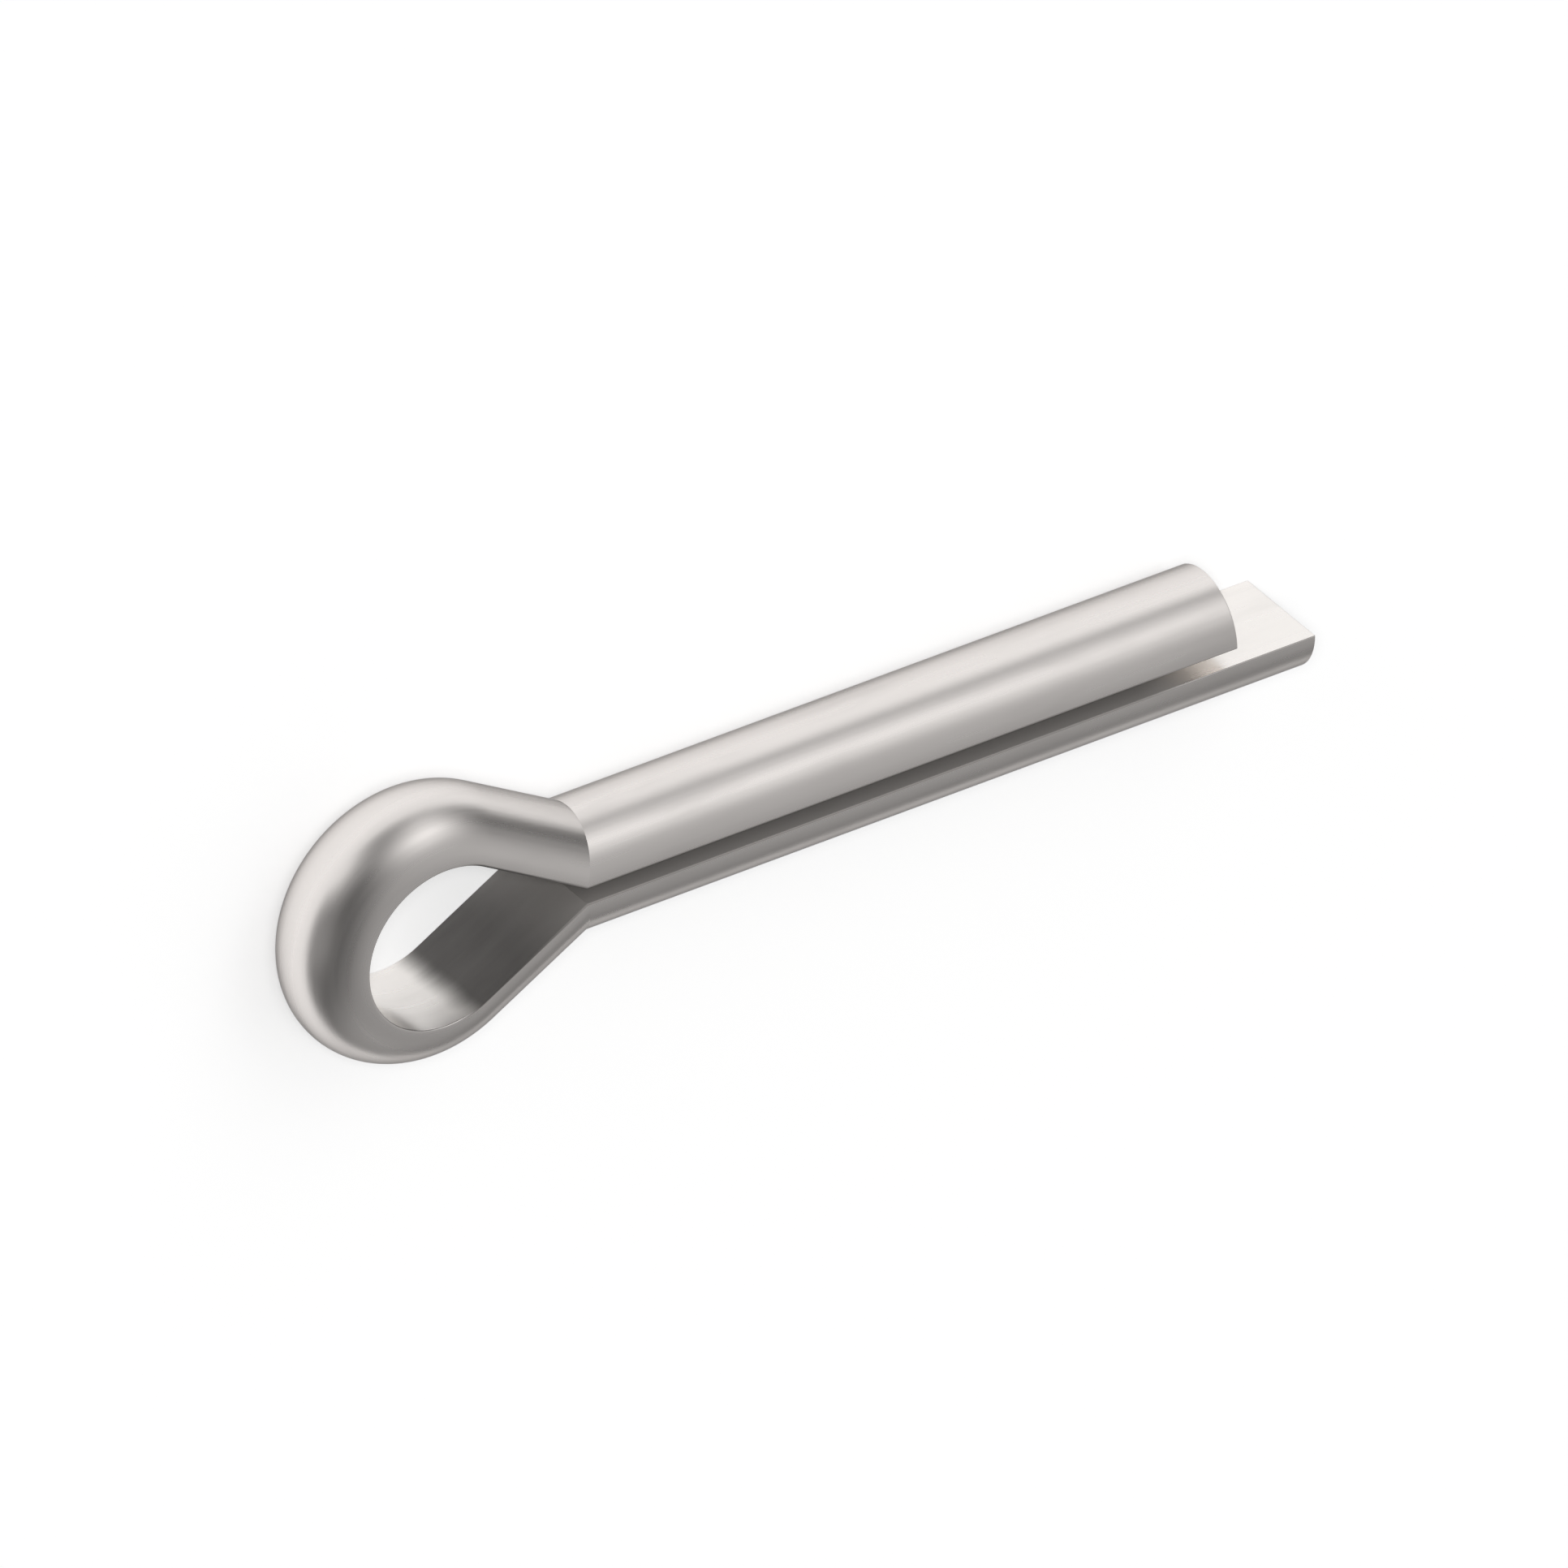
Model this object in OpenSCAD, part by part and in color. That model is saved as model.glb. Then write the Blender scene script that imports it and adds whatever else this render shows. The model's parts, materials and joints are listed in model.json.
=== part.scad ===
// Split cotter pin, bent from one length of half-round wire: a teardrop eye, a mitred
// neck and two parallel prongs of unequal length, with their flats facing each other.
//
// The pin lies on its side, on the round backs of its wire. The origin is on the axis
// of the shank, level with the neck. +X runs along the shank to the tips, +Y points
// towards the short prong, and the axis of the eye is parallel to Z.

/* [Wire] */
// Width of the wire across its flat, which is twice the radius of its round back
wire_w = 2.96; // [2.4:0.02:3.6]
// Radius on the two long edges, where the flat meets the round back
edge_r = 0.05; // [0.02:0.01:0.2]

/* [Shank] */
// Length of the short prong, from the neck to its tip
short_len = 19.05; // [10:0.05:50]
// How far the long prong reaches past the tip of the short one
tip_step = 2.28; // [1.6:0.02:4]
// Gap between the flats of the two prongs
gap = 0.44; // [0.1:0.02:0.8]

/* [Eye] */
// Radius inside the eye, at the flat of the wire
eye_r = 2.25; // [1.6:0.05:3.5]
// Angle at which each side of the wire opens from the shank towards the eye
neck_angle = 30; // [20:1:45]

/* [Hidden] */
$fn = 96;
steel = "#b9b5b1";

wire_r = wire_w / 2;
long_len = short_len + tip_step;
mitre_angle = neck_angle / 2;
// Straight wire between the neck and the eye: its flat ends where it is tangent to the
// eye, whose axis is on the mid-plane of the pin
slant_len = (eye_r * cos(neck_angle) - gap / 2) / sin(neck_angle);
// Turn of the eye from one slanted side to the mid-plane, and the surplus trimmed there
half_turn = 90 + neck_angle;
surplus_turn = 5;
// Distance of each edge rounding's centre from the middle of the flat
edge_y = sqrt(pow(wire_r - edge_r, 2) - pow(edge_r, 2));
// Larger than the pin in every direction
beyond = long_len + 10 * eye_r;

// Section of the wire: the flat is on the Y axis and the round back faces +X. The
// roundings are circles tangent to both, and the outline is cut back to where they touch.
module wire_section() {
    intersection() {
        circle(r = wire_r);
        polygon([
            [0, -edge_y], [edge_r, -edge_y], [2 * edge_r, -2 * edge_y], [wire_w, -2 * edge_y],
            [wire_w, 2 * edge_y], [2 * edge_r, 2 * edge_y], [edge_r, edge_y], [0, edge_y]
        ]);
    }
    for (side = [-1, 1])
        translate([edge_r, side * edge_y])
            circle(r = edge_r);
}

// Straight wire from the origin along +X, with its flat facing -Y
module straight_wire(length) {
    rotate([90, 0, 90])
        linear_extrude(height = length)
            wire_section();
}

// The wire from the neck towards the eye, and on round the eye a little past the
// mid-plane, laid out like straight_wire()
module eye_wire() {
    straight_wire(slant_len);
    translate([slant_len, -eye_r, 0])
        mirror([1, 0, 0])
            rotate([0, 0, 90])
                rotate_extrude(angle = half_turn + surplus_turn)
                    translate([eye_r, 0])
                        wire_section();
}

// Turns a wire up by half the bend and cuts its near end flush with the plane x = 0
module mitred() {
    difference() {
        rotate([0, 0, mitre_angle])
            children();
        translate([-beyond, -beyond / 2, -beyond / 2])
            cube(beyond);
    }
}

// Everything on the +Y side of the mid-plane. The two wires meet in the plane of the
// mitre, where one is cut as the mirror image of the other.
module pin_half(prong_len) {
    difference() {
        translate([0, gap / 2, 0])
            rotate([0, 0, -mitre_angle]) {
                mitred() straight_wire(prong_len);
                mirror([1, 0, 0])
                    mitred() eye_wire();
            }
        translate([-beyond / 2, -beyond, -beyond / 2])
            cube(beyond);
    }
}

module cotter_pin() {
    color(steel)
        union() {
            pin_half(short_len);
            mirror([0, 1, 0])
                pin_half(long_len);
        }
}

cotter_pin();
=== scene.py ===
"""A split cotter pin of half-round steel wire, lying on its side on a plain pale floor."""

import json
import math

import bmesh
import bpy
from mathutils import Euler, Matrix, Vector

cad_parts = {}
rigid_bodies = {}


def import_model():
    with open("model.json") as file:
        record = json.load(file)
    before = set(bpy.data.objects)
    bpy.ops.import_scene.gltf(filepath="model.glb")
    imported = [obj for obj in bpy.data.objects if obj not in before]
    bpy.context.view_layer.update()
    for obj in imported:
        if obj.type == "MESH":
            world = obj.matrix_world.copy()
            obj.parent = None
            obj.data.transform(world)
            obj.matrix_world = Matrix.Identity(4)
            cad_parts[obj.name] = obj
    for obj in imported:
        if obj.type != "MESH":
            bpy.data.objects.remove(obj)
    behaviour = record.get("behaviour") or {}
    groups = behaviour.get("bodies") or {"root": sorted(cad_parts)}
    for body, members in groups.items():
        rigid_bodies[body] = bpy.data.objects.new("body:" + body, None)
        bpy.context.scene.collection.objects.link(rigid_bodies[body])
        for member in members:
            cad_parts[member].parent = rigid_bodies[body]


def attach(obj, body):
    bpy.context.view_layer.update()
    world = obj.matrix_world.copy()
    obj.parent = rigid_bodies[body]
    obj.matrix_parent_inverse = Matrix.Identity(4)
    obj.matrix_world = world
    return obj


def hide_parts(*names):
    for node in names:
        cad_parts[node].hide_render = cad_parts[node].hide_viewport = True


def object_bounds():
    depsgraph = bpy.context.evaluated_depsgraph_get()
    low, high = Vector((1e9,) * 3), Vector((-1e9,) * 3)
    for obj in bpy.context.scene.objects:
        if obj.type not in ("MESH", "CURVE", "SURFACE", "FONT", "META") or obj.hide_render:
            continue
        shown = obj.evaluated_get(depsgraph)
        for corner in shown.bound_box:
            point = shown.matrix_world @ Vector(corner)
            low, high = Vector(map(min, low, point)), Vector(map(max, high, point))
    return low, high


bl_info = {
    "name": "Cotter Pin",
    "version": (1, 0, 0),
    "blender": (4, 5, 0),
    "location": "View3D > Sidebar > Cotter Pin",
    "description": "Bends a split cotter pin from half-round wire and sets it on a studio floor",
    "category": "Object",
}

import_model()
CAD_LOW, CAD_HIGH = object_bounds()

MM = 0.001
NODE = "cotter_pin"
WIRE = "cotter_pin_wire"

# Points closer than TIGHT are one point, and a point within NEAR of a plane is on it
TIGHT = 1e-7
NEAR = 2e-6

# Fineness of the mesh
SECTION_SIDES = 128
EDGE_STEPS = 5
EYE_STEPS = 120
TIP_STEPS = 3

# Faces that meet at less than this angle are smoothed, and at this weight the largest
# face round a point sets its normal, so the flats stay flat
SMOOTH_ANGLE = math.radians(40)
LARGEST_FACE_ONLY = 100

# A face whose normal reaches this far along X is square to the prongs
SQUARE = 0.99

# The wire's two finishes, in the order in which its mesh holds them
BACK = 0
FLATS = 1


# ---------------------------------------------------------------- settings


class CotterPinSizes(bpy.types.PropertyGroup):
    """Sizes of the wire and of the bent pin."""

    wire_width: bpy.props.FloatProperty(
        name="Wire Width",
        description="Width of the wire across its flat, twice the radius of its round back",
        default=2.96 * MM, min=1 * MM, max=6 * MM, unit="LENGTH", precision=5,
    )
    edge_radius: bpy.props.FloatProperty(
        name="Edge Radius",
        description="Rounding of the two long edges, between the flat and the round back",
        default=0.03 * MM, min=0.01 * MM, max=0.2 * MM, unit="LENGTH", precision=5,
    )
    short_length: bpy.props.FloatProperty(
        name="Short Prong",
        description="Length of the short prong from the neck to its tip",
        default=19.05 * MM, min=5 * MM, max=100 * MM, unit="LENGTH", precision=5,
    )
    long_length: bpy.props.FloatProperty(
        name="Long Prong",
        description="Length of the long prong from the neck to its tip",
        default=CAD_HIGH.x, min=5 * MM, max=100 * MM, unit="LENGTH", precision=5,
    )
    prong_gap: bpy.props.FloatProperty(
        name="Prong Gap",
        description="Gap between the flats of the two prongs",
        default=0.44 * MM, min=0.05 * MM, max=2 * MM, unit="LENGTH", precision=5,
    )
    eye_radius: bpy.props.FloatProperty(
        name="Eye Radius",
        description="Radius inside the eye, at the flat of the wire",
        default=2.25 * MM, min=1 * MM, max=6 * MM, unit="LENGTH", precision=5,
    )
    neck_angle: bpy.props.FloatProperty(
        name="Neck Angle",
        description="Angle at which each side of the wire opens from the shank to the eye",
        default=math.radians(30), min=math.radians(15), max=math.radians(60),
        subtype="ANGLE",
    )
    tip_bevel: bpy.props.FloatProperty(
        name="Tip Bevel",
        description="Size of the broken edge round each cut end",
        default=0.02 * MM, min=0.005 * MM, max=0.045 * MM, unit="LENGTH", precision=5,
    )


class CotterPinFinish(bpy.types.PropertyGroup):
    """Colour and surface of the steel."""

    steel: bpy.props.FloatVectorProperty(
        name="Steel",
        description="Colour of the satin drawn steel on the round back",
        default=(0.825, 0.787, 0.762), min=0.0, max=1.0, size=3, subtype="COLOR",
    )
    bright_steel: bpy.props.FloatVectorProperty(
        name="Bright Steel",
        description="Colour of the flats, which the rolls leave bright",
        default=(0.90, 0.869, 0.840), min=0.0, max=1.0, size=3, subtype="COLOR",
    )
    # Dark colour of the painted shade on the flats; the smears also take a faint random tarnish
    # of it
    shade_and_tarnish: bpy.props.FloatVectorProperty(
        name="Film",
        description="Colour of the dark film on the flats between the eye and the neck",
        default=(0.085, 0.08, 0.076), min=0.0, max=1.0, size=3, subtype="COLOR",
    )
    # Paler colour of the painted shade on the flats between the prongs
    gap_shade: bpy.props.FloatVectorProperty(
        name="Dry Film",
        description="Colour of the film on the flats between the prongs, where it is dry",
        default=(0.36, 0.34, 0.325), min=0.0, max=1.0, size=3, subtype="COLOR",
    )
    # How far the painted shade hides the steel where it is strongest
    shade_cover: bpy.props.FloatProperty(
        name="Film Cover",
        description="Share of the steel that the film hides where it is thickest",
        default=0.94, min=0.0, max=1.0, subtype="FACTOR",
    )
    sheared_steel: bpy.props.FloatVectorProperty(
        name="Sheared Steel",
        description="Colour of the two cut ends",
        default=(0.56, 0.535, 0.51), min=0.0, max=1.0, size=3, subtype="COLOR",
    )
    roughness: bpy.props.FloatProperty(
        name="Roughness",
        description="Roughness of the clean steel, on the round back and on the flats",
        default=0.30, min=0.05, max=0.8, subtype="FACTOR",
    )
    rim_tint: bpy.props.FloatProperty(
        name="Rim Tint",
        description="How much of its shine the round back keeps where it is seen at a slant",
        default=0.25, min=0.0, max=1.0, subtype="FACTOR",
    )
    line_depth: bpy.props.FloatProperty(
        name="Drawing Lines",
        description="Depth of the fine lines that the die leaves along the wire",
        default=0.0018 * MM, min=0.0, max=0.01 * MM, unit="LENGTH", precision=6,
    )


class CotterPinStage(bpy.types.PropertyGroup):
    """Floor, light and camera."""

    floor: bpy.props.FloatVectorProperty(
        name="Floor",
        description="Colour of the floor",
        default=(0.85, 0.85, 0.85), min=0.0, max=1.0, size=3, subtype="COLOR",
    )
    floor_glow: bpy.props.FloatProperty(
        name="Floor Glow",
        description="White that the floor shows besides the light that falls on it",
        default=0.465, min=0.0, max=1.0, subtype="FACTOR",
    )
    room: bpy.props.FloatProperty(
        name="Room Light",
        description="Brightness of the walls of the studio",
        default=0.09, min=0.0, max=2.0,
    )
    azimuth: bpy.props.FloatProperty(
        name="Camera Azimuth",
        description="Direction in which the camera stands, anticlockwise from +X",
        default=math.radians(130.39), subtype="ANGLE",
    )
    elevation: bpy.props.FloatProperty(
        name="Camera Elevation",
        description="Height of the camera above the horizon",
        default=math.radians(43.885), subtype="ANGLE",
    )
    roll: bpy.props.FloatProperty(
        name="Camera Roll",
        description="Turn of the camera about its line of sight, anticlockwise",
        default=math.radians(129.2), subtype="ANGLE",
    )
    view_width: bpy.props.FloatProperty(
        name="View Width",
        description="Width of the camera's frame",
        default=38.11 * MM, min=5 * MM, max=1.0, unit="LENGTH", precision=5,
    )


# ---------------------------------------------------------------- modelling by hand


def deselect_all():
    """Deselects every object, because an operator acts on all that is selected."""
    for thing in bpy.context.view_layer.objects:
        thing.select_set(False)


def apply_place():
    """Moves the active object's place, turn and size into its mesh."""
    bpy.ops.object.transform_apply(location=True, rotation=True, scale=True)


def pick(kind, test):
    """Selects in edit mode the verts, edges or faces whose every corner passes the test."""
    bpy.ops.mesh.select_mode(type={"verts": "VERT", "edges": "EDGE", "faces": "FACE"}[kind])
    bpy.ops.mesh.select_all(action="DESELECT")
    mesh = bpy.context.edit_object.data
    shape = bmesh.from_edit_mesh(mesh)
    found = False
    for part in getattr(shape, kind):
        corners = [part.co] if kind == "verts" else [v.co for v in part.verts]
        if all(test(co) for co in corners):
            part.select_set(True)
            found = True
    shape.select_flush_mode()
    bmesh.update_edit_mesh(mesh)
    if not found:
        raise RuntimeError(f"no {kind} were found to select")


class PinPlan:
    """Where the wire runs, worked out from the sizes. The side is 1 on +Y and -1 on -Y."""

    def __init__(self, sizes):
        self.radius = sizes.wire_width / 2
        self.half_gap = sizes.prong_gap / 2
        self.eye_radius = sizes.eye_radius
        self.bend = sizes.neck_angle
        self.tips = {1: sizes.short_length, -1: sizes.long_length}
        self.slant = (
            self.eye_radius * math.cos(self.bend) - self.half_gap
        ) / math.sin(self.bend)
        self.eye = Vector((
            -self.slant * math.cos(self.bend) - self.eye_radius * math.sin(self.bend),
            0.0, 0.0,
        ))

    def neck(self, side):
        """Point where the flat of the wire bends, at the near end of a prong."""
        return Vector((0.0, side * self.half_gap, 0.0))

    def out(self, side):
        """Direction in which the round back of a slanted length faces."""
        return Vector((math.sin(self.bend), side * math.cos(self.bend), 0.0))

    def down(self, side):
        """Direction of a slanted length, from the eye to the neck."""
        return Vector((math.cos(self.bend), -side * math.sin(self.bend), 0.0))

    def mitre(self, side):
        """Normal of the plane in which a slanted length meets its prong."""
        half = self.bend / 2
        return Vector((math.cos(half), -side * math.sin(half), 0.0))

    def start(self, side):
        """Point where the flat of a slanted length leaves the eye."""
        return self.eye + self.out(side) * self.eye_radius

    def lay(self, co):
        """Place of a point along the wire from the neck, out from its flat, and across it."""
        side = 1 if co.y > 0 else -1
        lean = math.tan(self.bend / 2)
        from_neck = co - self.neck(side)
        if from_neck.dot(self.mitre(side)) >= -NEAR:
            height = from_neck.y * side
            return Vector((from_neck.x - height * lean, height, co.z))
        height = from_neck.dot(self.out(side))
        run = -from_neck.dot(self.down(side))
        if run <= self.slant + NEAR:
            return Vector((height * lean - run, height, co.z))
        spoke = co - self.eye
        height = math.hypot(spoke.x, spoke.y) - self.eye_radius
        turned = math.atan2(abs(spoke.y), spoke.x) - (math.pi / 2 - self.bend)
        reach = self.slant - height * lean + turned * self.eye_radius
        return Vector((-reach, height, co.z))


def add_section(sizes, plan):
    """Adds the half-round section of the wire where the eye begins, on the +Y side."""
    out = plan.out(1)
    bpy.ops.mesh.primitive_circle_add(
        vertices=SECTION_SIDES, radius=plan.radius, fill_type="NGON", calc_uvs=False,
        location=plan.start(1),
        rotation=(math.pi / 2, 0.0, math.atan2(out.y, out.x)),
    )
    wire = bpy.context.active_object
    wire.name = wire.data.name = WIRE
    apply_place()
    bpy.ops.object.mode_set(mode="EDIT")
    bpy.ops.mesh.select_all(action="SELECT")
    bpy.ops.mesh.bisect(
        plane_co=plan.start(1), plane_no=out, clear_inner=True, threshold=TIGHT
    )
    pick("verts", lambda co: (co - plan.start(1)).dot(out) < NEAR)
    bpy.ops.mesh.bevel(
        offset=sizes.edge_radius, segments=EDGE_STEPS, profile=0.5, affect="VERTICES"
    )
    return wire


def turn_eye(plan):
    """Spins the section round the eye to the other slanted length."""
    bpy.ops.mesh.select_mode(type="FACE")
    bpy.ops.mesh.select_all(action="SELECT")
    bpy.ops.mesh.spin(
        steps=EYE_STEPS, angle=-(math.pi + 2 * plan.bend), center=plan.eye,
        axis=(0.0, 0.0, 1.0),
    )


def draw_side(plan, side):
    """Draws one side of the wire out to the neck, mitres it, and draws its prong."""
    start, out, down = plan.start(side), plan.out(side), plan.down(side)
    neck, mitre, tip = plan.neck(side), plan.mitre(side), plan.tips[side]
    pick("faces", lambda co: abs((co - start).dot(down)) < NEAR and co.y * side > 0)
    bpy.ops.mesh.extrude_region_move(
        TRANSFORM_OT_translate={"value": down * (plan.slant + plan.radius / 2)}
    )
    pick("faces", lambda co: (co - start).dot(down) > -NEAR
         and -NEAR < (co - start).dot(out) < plan.radius + NEAR)
    bpy.ops.mesh.bisect(
        plane_co=neck, plane_no=mitre, clear_outer=True, use_fill=True, threshold=TIGHT
    )
    pick("faces", lambda co: abs((co - neck).dot(mitre)) < NEAR)
    bpy.ops.mesh.extrude_region_move(
        TRANSFORM_OT_translate={"value": (tip - plan.radius, 0.0, 0.0)}
    )
    bpy.ops.transform.resize(value=(0.0, 1.0, 1.0), center_override=(tip, 0.0, 0.0))


def break_tip(sizes, plan, side):
    """Breaks the sharp edge round a cut end."""
    tip = plan.tips[side]
    pick("edges", lambda co: abs(co.x - tip) < NEAR)
    bpy.ops.mesh.bevel(offset=sizes.tip_bevel, segments=TIP_STEPS, affect="EDGES")


def crease_necks(plan):
    """Keeps the mitred necks crisp, with the rest of the wire smooth."""
    pick("edges", lambda co: any(
        abs((co - plan.neck(side)).dot(plan.mitre(side))) < NEAR and co.y * side > 0
        for side in (1, -1)
    ))
    bpy.ops.mesh.mark_sharp()


def close_mesh():
    """Merges the points that meet and turns every face outwards."""
    bpy.ops.mesh.select_mode(type="VERT")
    bpy.ops.mesh.select_all(action="SELECT")
    bpy.ops.mesh.remove_doubles(threshold=TIGHT)
    bpy.ops.mesh.normals_make_consistent(inside=False)


def smooth_mesh():
    """Leaves edit mode, and smooths the mesh with its flats kept flat."""
    bpy.ops.object.mode_set(mode="OBJECT")
    bpy.ops.object.shade_smooth_by_angle(angle=SMOOTH_ANGLE, keep_sharp_edges=True)
    bpy.ops.object.modifier_add(type="WEIGHTED_NORMAL")
    even = bpy.context.active_object.modifiers[-1]
    even.keep_sharp = True
    even.weight = LARGEST_FACE_ONLY
    bpy.ops.object.modifier_apply(modifier=even.name)


def mark_wire(wire, plan):
    """Stores the lay of the wire and its cut ends, and gives the flats their own finish."""
    mesh = wire.data
    lay = mesh.attributes.new("lay_mm", "FLOAT_VECTOR", "POINT")
    for point, value in zip(mesh.vertices, lay.data):
        value.vector = plan.lay(point.co) / MM
    for face in mesh.polygons:
        on_flat = all(lay.data[corner].vector.y < NEAR / MM for corner in face.vertices)
        face.material_index = FLATS if on_flat else BACK
    cut = mesh.attributes.new("cut_end", "FLOAT", "FACE")
    for face, value in zip(mesh.polygons, cut.data):
        value.value = 1.0 if face.normal.x > SQUARE and face.center.x > 0 else 0.0


def check_closed(wire):
    """Raises an error if the mesh has a hole, a stray edge or an inside-out shell."""
    shape = bmesh.new()
    shape.from_mesh(wire.data)
    loose = sum(len(edge.link_faces) != 2 for edge in shape.edges)
    volume = shape.calc_volume(signed=True)
    shape.free()
    if loose or volume <= 0:
        raise RuntimeError(f"{wire.name}: {loose} open edges, volume {volume}")


# ---------------------------------------------------------------- shader maths


class Value:
    """A number in a shader: plain Python arithmetic on it adds Math nodes."""

    def __init__(self, graph, socket):
        self.graph, self.socket = graph, socket

    def maths(self, operation, *others):
        return self.graph.node(
            "ShaderNodeMath", {"operation": operation}, {i: v for i, v in enumerate(others)}
        )

    def __add__(self, other):
        return self.maths("ADD", self, other)

    def __sub__(self, other):
        return self.maths("SUBTRACT", self, other)

    def __rsub__(self, other):
        return self.maths("SUBTRACT", other, self)

    def __mul__(self, other):
        return self.maths("MULTIPLY", self, other)

    def __truediv__(self, other):
        return self.maths("DIVIDE", self, other)

    def maximum(self, other):
        return self.maths("MAXIMUM", self, other)

    def exp(self):
        return self.maths("EXPONENT", self)

    def size(self):
        return self.maths("ABSOLUTE", self)

    __radd__ = __add__
    __rmul__ = __mul__


class Graph:
    """The nodes of one material or world."""

    def __init__(self, owner):
        owner.use_nodes = True
        self.tree = owner.node_tree
        self.tree.nodes.clear()

    def node(self, kind, settings=None, inputs=None, output=0):
        """Adds a node: its settings first, then the values or links of its sockets."""
        new = self.tree.nodes.new(kind)
        for name, setting in (settings or {}).items():
            setattr(new, name, setting)
        for name, value in (inputs or {}).items():
            if isinstance(value, Value):
                self.tree.links.new(value.socket, new.inputs[name])
            else:
                new.inputs[name].default_value = value
        return Value(self, new.outputs[output]) if new.outputs else None

    def noise(self, place, scale, detail=2.0, rough=0.5):
        """Noise between 0 and 1, about 0.5."""
        return self.node("ShaderNodeTexNoise", None, {
            "Vector": place, "Scale": scale, "Detail": detail, "Roughness": rough,
        })

    def stretch(self, place, amounts):
        """A place multiplied along each axis."""
        return self.node("ShaderNodeVectorMath", {"operation": "MULTIPLY"},
                         {0: place, 1: amounts})

    def ease(self, value, low, high, start=0.0, end=1.0):
        """A smooth step from start at low to end at high."""
        return self.node("ShaderNodeMapRange", {"interpolation_type": "SMOOTHSTEP"}, {
            "Value": value, "From Min": low, "From Max": high,
            "To Min": start, "To Max": end,
        })

    def blend(self, factor, first, second):
        """The first colour where the factor is 0, and the second where it is 1."""
        return self.node("ShaderNodeMix", {"data_type": "RGBA"}, {
            0: factor, 6: first, 7: second,
        }, output=2)


def opaque(color):
    """A colour property as a node socket takes it."""
    return (*color, 1.0)


# ---------------------------------------------------------------- finishes


# Where marks on the wire begin and end, in millimetres: each pair is where a smooth step
# starts and where it is complete. The rub on a long edge sets in this far inside the edge
# of the flat, and fades this far out from the flat
RUB_IN = (0.10, 0.03)
RUB_OUT = (0.02, 0.14)

# The painted shade on the flats sets in this far before the slanted length, inside the eye.
# It turns paler from this far along the slanted length to this far past the neck, ends this
# far before the short tip, and fades this far out from the flat
SHADE_START = (0.84, 0.02)
SHADE_PALER = (1.16, 0.5)
SHADE_END = (2.85, 0.85)
SHADE_OUT = (0.03, 0.08)

# The torn zone of a cut end fades this many wire radii out from the flat
TORN_OUT = (0.42, 0.5)

# How often a mark changes in a millimetre: along, out from and across the wire, then on a
# cut end along X, Y and Z, then on a cut end in all directions
DIE_LINES = (0.02, 5.0, 5.0)
SMEARS = (0.25, 1.0, 1.4)
SHEAR_LINES = (1.0, 1.5, 26.0)
TORN_GRAIN = 13.0
TORN_WANDER = 0.8


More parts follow.
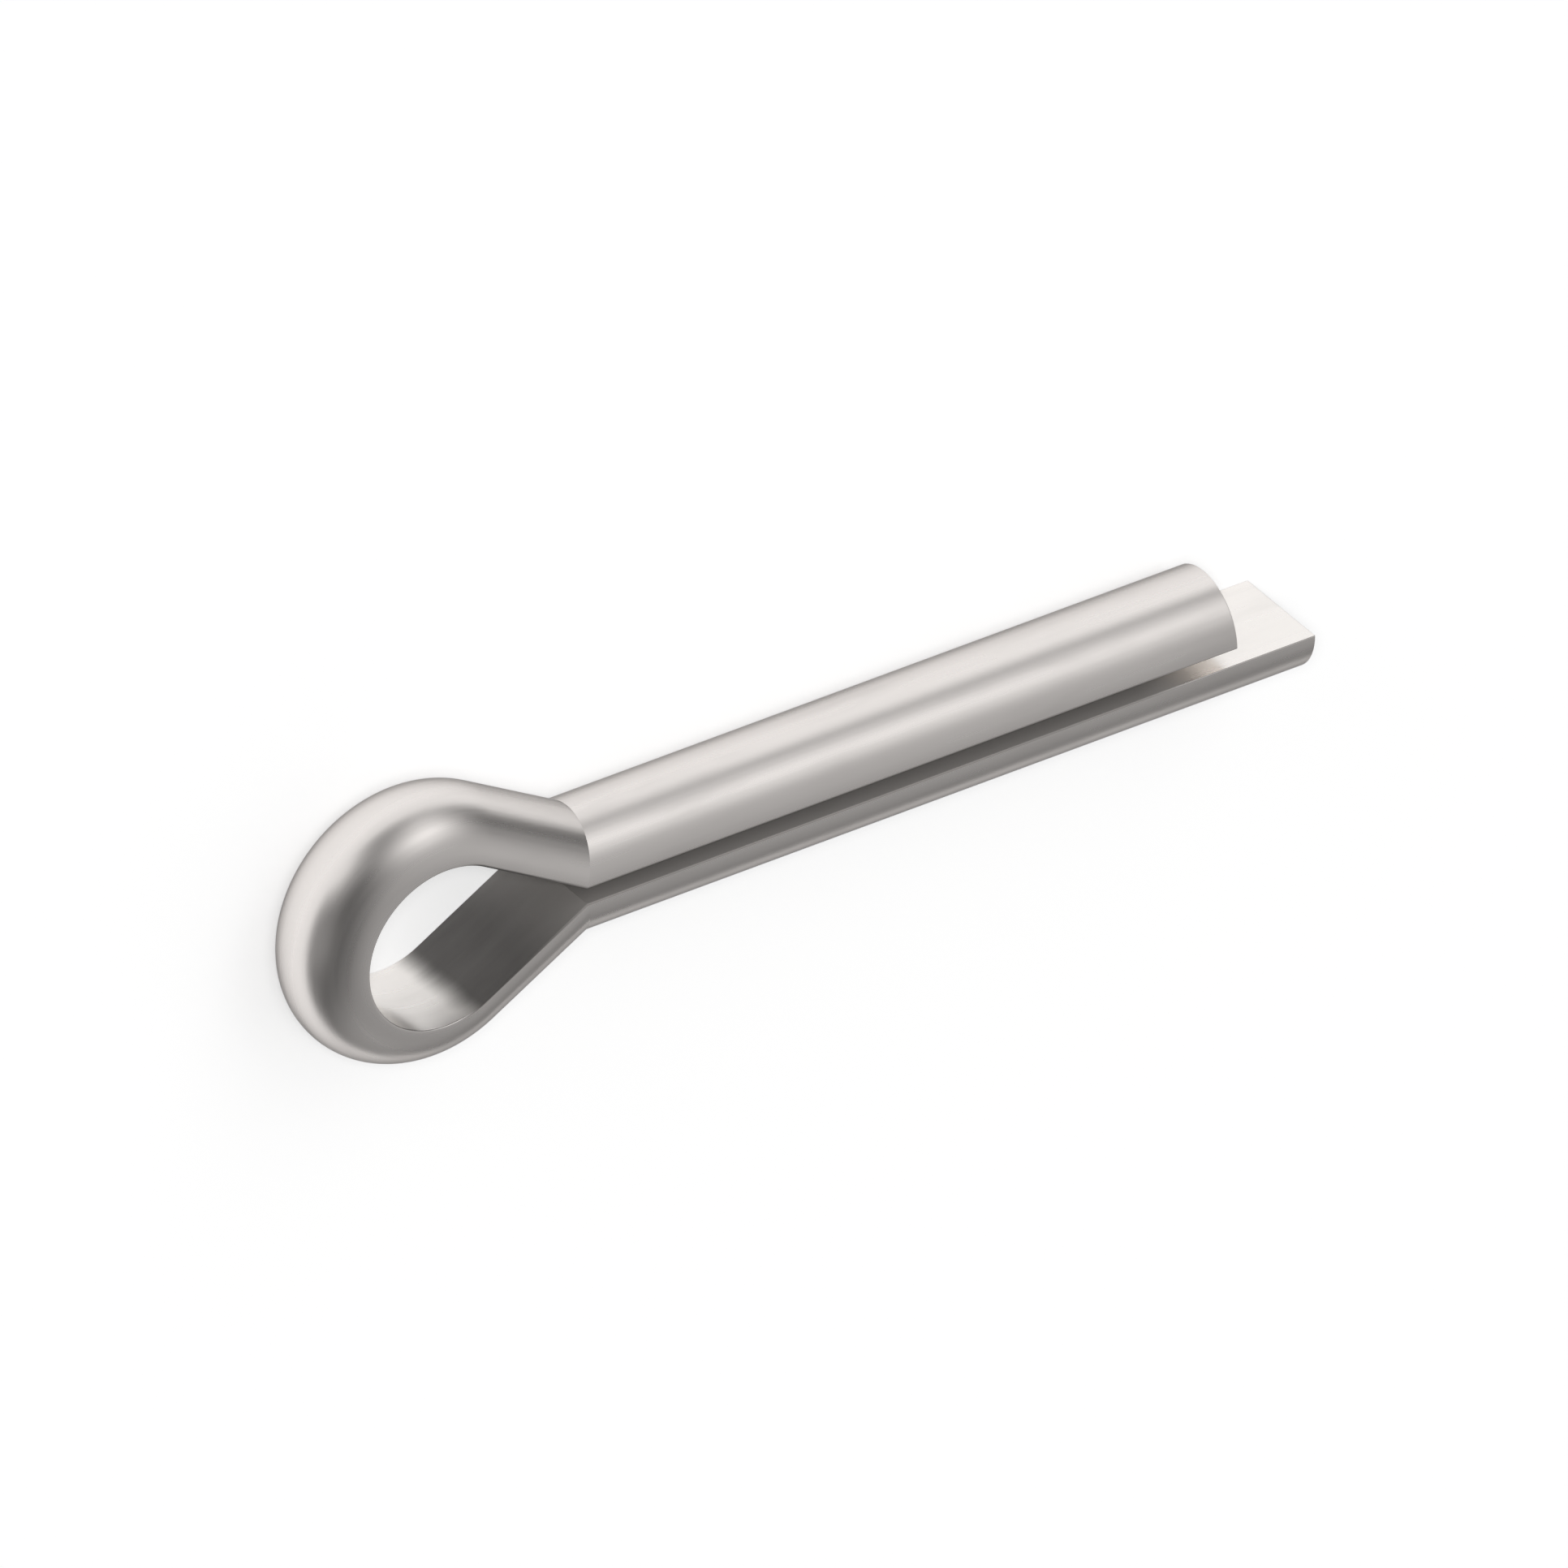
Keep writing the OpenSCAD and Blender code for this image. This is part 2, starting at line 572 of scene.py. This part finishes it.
def wire_steel(name, steel, rim_tint, finish, plan):
    """Satin steel, lined along the wire, with painted shade on parts of the flats, and sheared
    ends.
    """
    material = bpy.data.materials.new(name)
    graph = Graph(material)
    radius, slant, short = (size / MM for size in (plan.radius, plan.slant, plan.tips[1]))
    lay = graph.node("ShaderNodeAttribute", {"attribute_name": "lay_mm"}, output="Vector")
    cut = graph.node("ShaderNodeAttribute", {"attribute_name": "cut_end"}, output="Fac")
    place = graph.stretch(
        graph.node("ShaderNodeTexCoord", output="Object"), (1 / MM, 1 / MM, 1 / MM)
    )
    along, out, across = (
        graph.node("ShaderNodeSeparateXYZ", None, {"Vector": lay}, output=axis)
        for axis in ("X", "Y", "Z")
    )

    # Lines from the die run the whole length of the wire, with long faint smears between
    # them, and its two long edges are rubbed
    lines = graph.noise(graph.stretch(lay, DIE_LINES), 1.0, 1.0)
    smears = graph.noise(graph.stretch(lay, SMEARS), 1.0, 3.0, 0.6)
    edge = graph.ease(across.size(), radius - RUB_IN[0], radius - RUB_IN[1])
    edge = edge * graph.ease(out, *RUB_OUT, 1.0, 0.0)

    # Nothing rubs the flats. Painted shade darkens them between the eye and the neck, paler
    # between the prongs, and ends short of the short tip
    wander = along + 0.25 * (smears - 0.5)
    paler = graph.ease(wander, SHADE_PALER[0] - slant, SHADE_PALER[1])
    covered = graph.ease(wander, -SHADE_START[0] - slant, -SHADE_START[1] - slant)
    covered = covered * graph.ease(wander, short - SHADE_END[0], short - SHADE_END[1], 1.0, 0.0)
    shade_and_tarnish = covered * graph.ease(out, *SHADE_OUT, 1.0, 0.0) * (0.95 + 0.1 * smears)
    shade_and_tarnish = shade_and_tarnish * (1 - cut) * finish.shade_cover

    # The shears leave fine lines next to the back of the wire and a torn zone by its flat
    shear = graph.noise(graph.stretch(place, SHEAR_LINES), 1.0)
    grain = graph.noise(place, TORN_GRAIN, 3.0, 0.6)
    ragged = out + 0.5 * (graph.noise(place, TORN_WANDER) - 0.5) + 0.2 * shear
    torn = cut * graph.ease(ragged, TORN_OUT[0] * radius, TORN_OUT[1] * radius, 1.0, 0.0)

    # Each mark changes the roughness, the colour or the height a little
    roughness = (
        finish.roughness + 0.20 * (lines - 0.5) + 0.10 * (smears - 0.5)
        - 0.05 * edge + 0.04 * cut + 0.16 * torn + 0.20 * shade_and_tarnish
    )
    shade = graph.blend(torn, opaque(steel), opaque(finish.sheared_steel))
    shade = graph.blend(0.06 * graph.ease(smears, 0.45, 0.75), shade, opaque(finish.shade_and_tarnish))
    # Painted shade: a dark tone on the slanted flats, a paler one between the prongs
    shade_tone = graph.blend(paler, opaque(finish.shade_and_tarnish), opaque(finish.gap_shade))
    shade = graph.blend(shade_and_tarnish, shade, shade_tone)
    height = lines * (1 - cut) + 1.7 * shear * (cut - torn) + 5 * grain * torn
    bump = graph.node("ShaderNodeBump", None, {
        "Strength": 1.0, "Distance": finish.line_depth, "Height": height,
    })
    surface = graph.node("ShaderNodeBsdfPrincipled", None, {
        "Base Color": shade, "Metallic": 1 - 0.85 * shade_and_tarnish, "Roughness": roughness,
        "Specular Tint": opaque([rim_tint] * 3), "Normal": bump,
    })
    graph.node("ShaderNodeOutputMaterial", None, {"Surface": surface})
    return material


def pale_floor(stage):
    """Pale matt floor that also shows a little white of its own, and keeps the shadow."""
    material = bpy.data.materials.new("pale_floor")
    material.cycles.emission_sampling = "NONE"
    graph = Graph(material)
    camera, glossy, clear, bounces = (
        graph.node("ShaderNodeLightPath", output=name)
        for name in ("Is Camera Ray", "Is Glossy Ray", "Is Transmission Ray", "Diffuse Depth")
    )
    seen = camera.maximum(glossy).maximum(clear) * (1 - bounces).maximum(0.0)
    matt = graph.node("ShaderNodeBsdfDiffuse", None, {"Color": opaque(stage.floor)})
    glow = graph.node("ShaderNodeEmission", None, {"Strength": seen * stage.floor_glow})
    both = graph.node("ShaderNodeAddShader", None, {0: matt, 1: glow})
    graph.node("ShaderNodeOutputMaterial", None, {"Surface": both})
    return material


# Brightness of a white floor that doesn't clip
WHITE = 0.985

# The floor is a disc, with a radius in metres that puts its edge far behind the pin
FLOOR_RADIUS = 2.0
FLOOR_SIDES = 96

# Slopes of a direction under which the studio is wholly white, and over which it is grey
HORIZON = (-0.02, -0.01)

# Where the camera stands in its own axes, right, up and back from the frame's origin, in
# millimetres, and how far it sees, in metres
CAMERA_SPOT = Vector((5.603, 2.064, 250.0))
CAMERA_REACH = 10.0

# Soft panels of the studio: where each stands, anticlockwise from +X and above the horizon,
# its spread, all in degrees, and its brightness over the room's
PANELS = (
    (62.9, 40.5, 15.4, 1.00),
    (93.0, 43.0, 13.9, 0.17),
    (67.6, 17.5, 11.5, 0.38),
    (135.9, 3.2, 14.1, 0.90),
    (189.4, 24.0, 13.2, 0.20),
    (278.7, 25.8, 20.4, 0.28),
    (338.2, 30.0, 15.8, 0.38),
    (1.5, 66.6, 21.2, 0.35),
)

# Lamps that fill the floor with light: where each stands, how wide it looks, all in
# degrees, and its strength, where 1 makes a white floor under it white
LAMPS = (
    (130.4, 43.9, 8.0, 0.24),
    (130.4, 56.0, 20.0, 0.14),
)


def toward(azimuth, elevation):
    """Direction anticlockwise from +X and above the horizon, in degrees."""
    turn = Euler((0.0, -math.radians(elevation), math.radians(azimuth)))
    return turn.to_matrix() @ Vector((1.0, 0.0, 0.0))


def light_room(stage):
    """Lights the scene from a plain grey studio with a few soft panels."""
    world = bpy.data.worlds.new("studio")
    bpy.context.scene.world = world
    graph = Graph(world)
    look = graph.node("ShaderNodeTexCoord", output="Generated")
    level = stage.room
    for azimuth, elevation, spread, brightness in PANELS:
        facing = graph.node("ShaderNodeVectorMath", {"operation": "DOT_PRODUCT"}, {
            0: look, 1: toward(azimuth, elevation),
        }, output="Value")
        level = level + brightness * ((facing - 1) / math.radians(spread) ** 2).exp()
    # Below the horizon the studio is white, for a camera that looks from low down
    slope = graph.node("ShaderNodeSeparateXYZ", None, {"Vector": look}, output="Z")
    below = graph.ease(slope, *HORIZON, 1.0, 0.0)
    light = graph.node("ShaderNodeBackground", None, {
        "Color": (1.0, 1.0, 1.0, 1.0),
        "Strength": level * (1 - below) + WHITE * below,
    })
    graph.node("ShaderNodeOutputWorld", None, {"Surface": light})


def light_floor():
    """Hangs the lamps that light only what is matt, so they leave no glare on the wire."""
    for azimuth, elevation, width, strength in LAMPS:
        aim = toward(azimuth, elevation)
        bpy.ops.object.light_add(
            type="SUN", location=aim, rotation=aim.to_track_quat("Z", "Y").to_euler()
        )
        lamp = bpy.context.active_object
        lamp.data.angle = math.radians(width)
        lamp.data.energy = strength * math.pi
        lamp.visible_glossy = False


def set_camera(stage):
    """Stands the camera at its angle, far enough back to see the pin flat."""
    bpy.ops.object.camera_add()
    camera = bpy.context.active_object
    turn = Euler((math.pi / 2 - stage.elevation, 0.0, stage.azimuth + math.pi / 2)).to_matrix()
    turn = turn @ Matrix.Rotation(stage.roll, 3, "Z")
    spot = turn @ (CAMERA_SPOT * MM)
    camera.matrix_world = Matrix.LocRotScale(spot, turn, None)
    camera.data.type = "ORTHO"
    camera.data.ortho_scale = stage.view_width
    camera.data.clip_start = 1 * MM
    camera.data.clip_end = CAMERA_REACH
    return camera


# ---------------------------------------------------------------- operators


class COTTERPIN_OT_wire(bpy.types.Operator):
    """Bend the pin from one length of half-round wire, with its eye, necks and prongs"""

    bl_idname = "cotter_pin.wire"
    bl_label = "Bend Wire"

    def execute(self, context):
        deselect_all()
        sizes = context.scene.cotter_pin_sizes
        plan = PinPlan(sizes)
        wire = add_section(sizes, plan)
        turn_eye(plan)
        for side in (1, -1):
            draw_side(plan, side)
        close_mesh()
        for side in (1, -1):
            break_tip(sizes, plan, side)
        crease_necks(plan)
        smooth_mesh()
        check_closed(wire)
        mark_wire(wire, plan)
        finish = context.scene.cotter_pin_finish
        for name, steel, rim_tint in (
            ("drawn_back", finish.steel, finish.rim_tint),
            ("rolled_flats", finish.bright_steel, 1.0),
        ):
            wire.data.materials.append(wire_steel(name, steel, rim_tint, finish, plan))
        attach(wire, "root")
        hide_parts(NODE)
        return {"FINISHED"}


class COTTERPIN_OT_stage(bpy.types.Operator):
    """Lay the floor, light the studio and set up the camera"""

    bl_idname = "cotter_pin.stage"
    bl_label = "Set Stage"

    def execute(self, context):
        deselect_all()
        stage = context.scene.cotter_pin_stage
        bpy.ops.mesh.primitive_circle_add(
            vertices=FLOOR_SIDES, radius=FLOOR_RADIUS, fill_type="NGON",
            location=(0.0, 0.0, CAD_LOW.z),
        )
        floor = context.active_object
        floor.name = floor.data.name = "floor"
        apply_place()
        floor.data.materials.append(pale_floor(stage))
        light_room(stage)
        light_floor()
        context.scene.camera = set_camera(stage)
        context.scene.view_settings.view_transform = "Standard"
        return {"FINISHED"}


class COTTERPIN_PT_panel(bpy.types.Panel):
    """Sizes, finish and stage of the pin, with the buttons that build them"""

    bl_label = "Cotter Pin"
    bl_idname = "COTTERPIN_PT_panel"
    bl_space_type = "VIEW_3D"
    bl_region_type = "UI"
    bl_category = "Cotter Pin"

    def draw(self, context):
        for title, name, operator in GROUPS:
            box = self.layout.box()
            box.label(text=title)
            settings = getattr(context.scene, name)
            for prop in settings.__annotations__:
                box.prop(settings, prop)
            if operator:
                box.operator(operator.bl_idname)


GROUPS = (
    ("Sizes", "cotter_pin_sizes", None),
    ("Finish", "cotter_pin_finish", COTTERPIN_OT_wire),
    ("Stage", "cotter_pin_stage", COTTERPIN_OT_stage),
)
SETTINGS = {
    "cotter_pin_sizes": CotterPinSizes,
    "cotter_pin_finish": CotterPinFinish,
    "cotter_pin_stage": CotterPinStage,
}
CLASSES = (*SETTINGS.values(), COTTERPIN_OT_wire, COTTERPIN_OT_stage, COTTERPIN_PT_panel)


def register():
    for cls in CLASSES:
        bpy.utils.register_class(cls)
    for name, cls in SETTINGS.items():
        setattr(bpy.types.Scene, name, bpy.props.PointerProperty(type=cls))


def unregister():
    for name in SETTINGS:
        delattr(bpy.types.Scene, name)
    for cls in reversed(CLASSES):
        bpy.utils.unregister_class(cls)


def main():
    register()
    bpy.ops.cotter_pin.wire()
    bpy.ops.cotter_pin.stage()


if __name__ == "__main__":
    main()
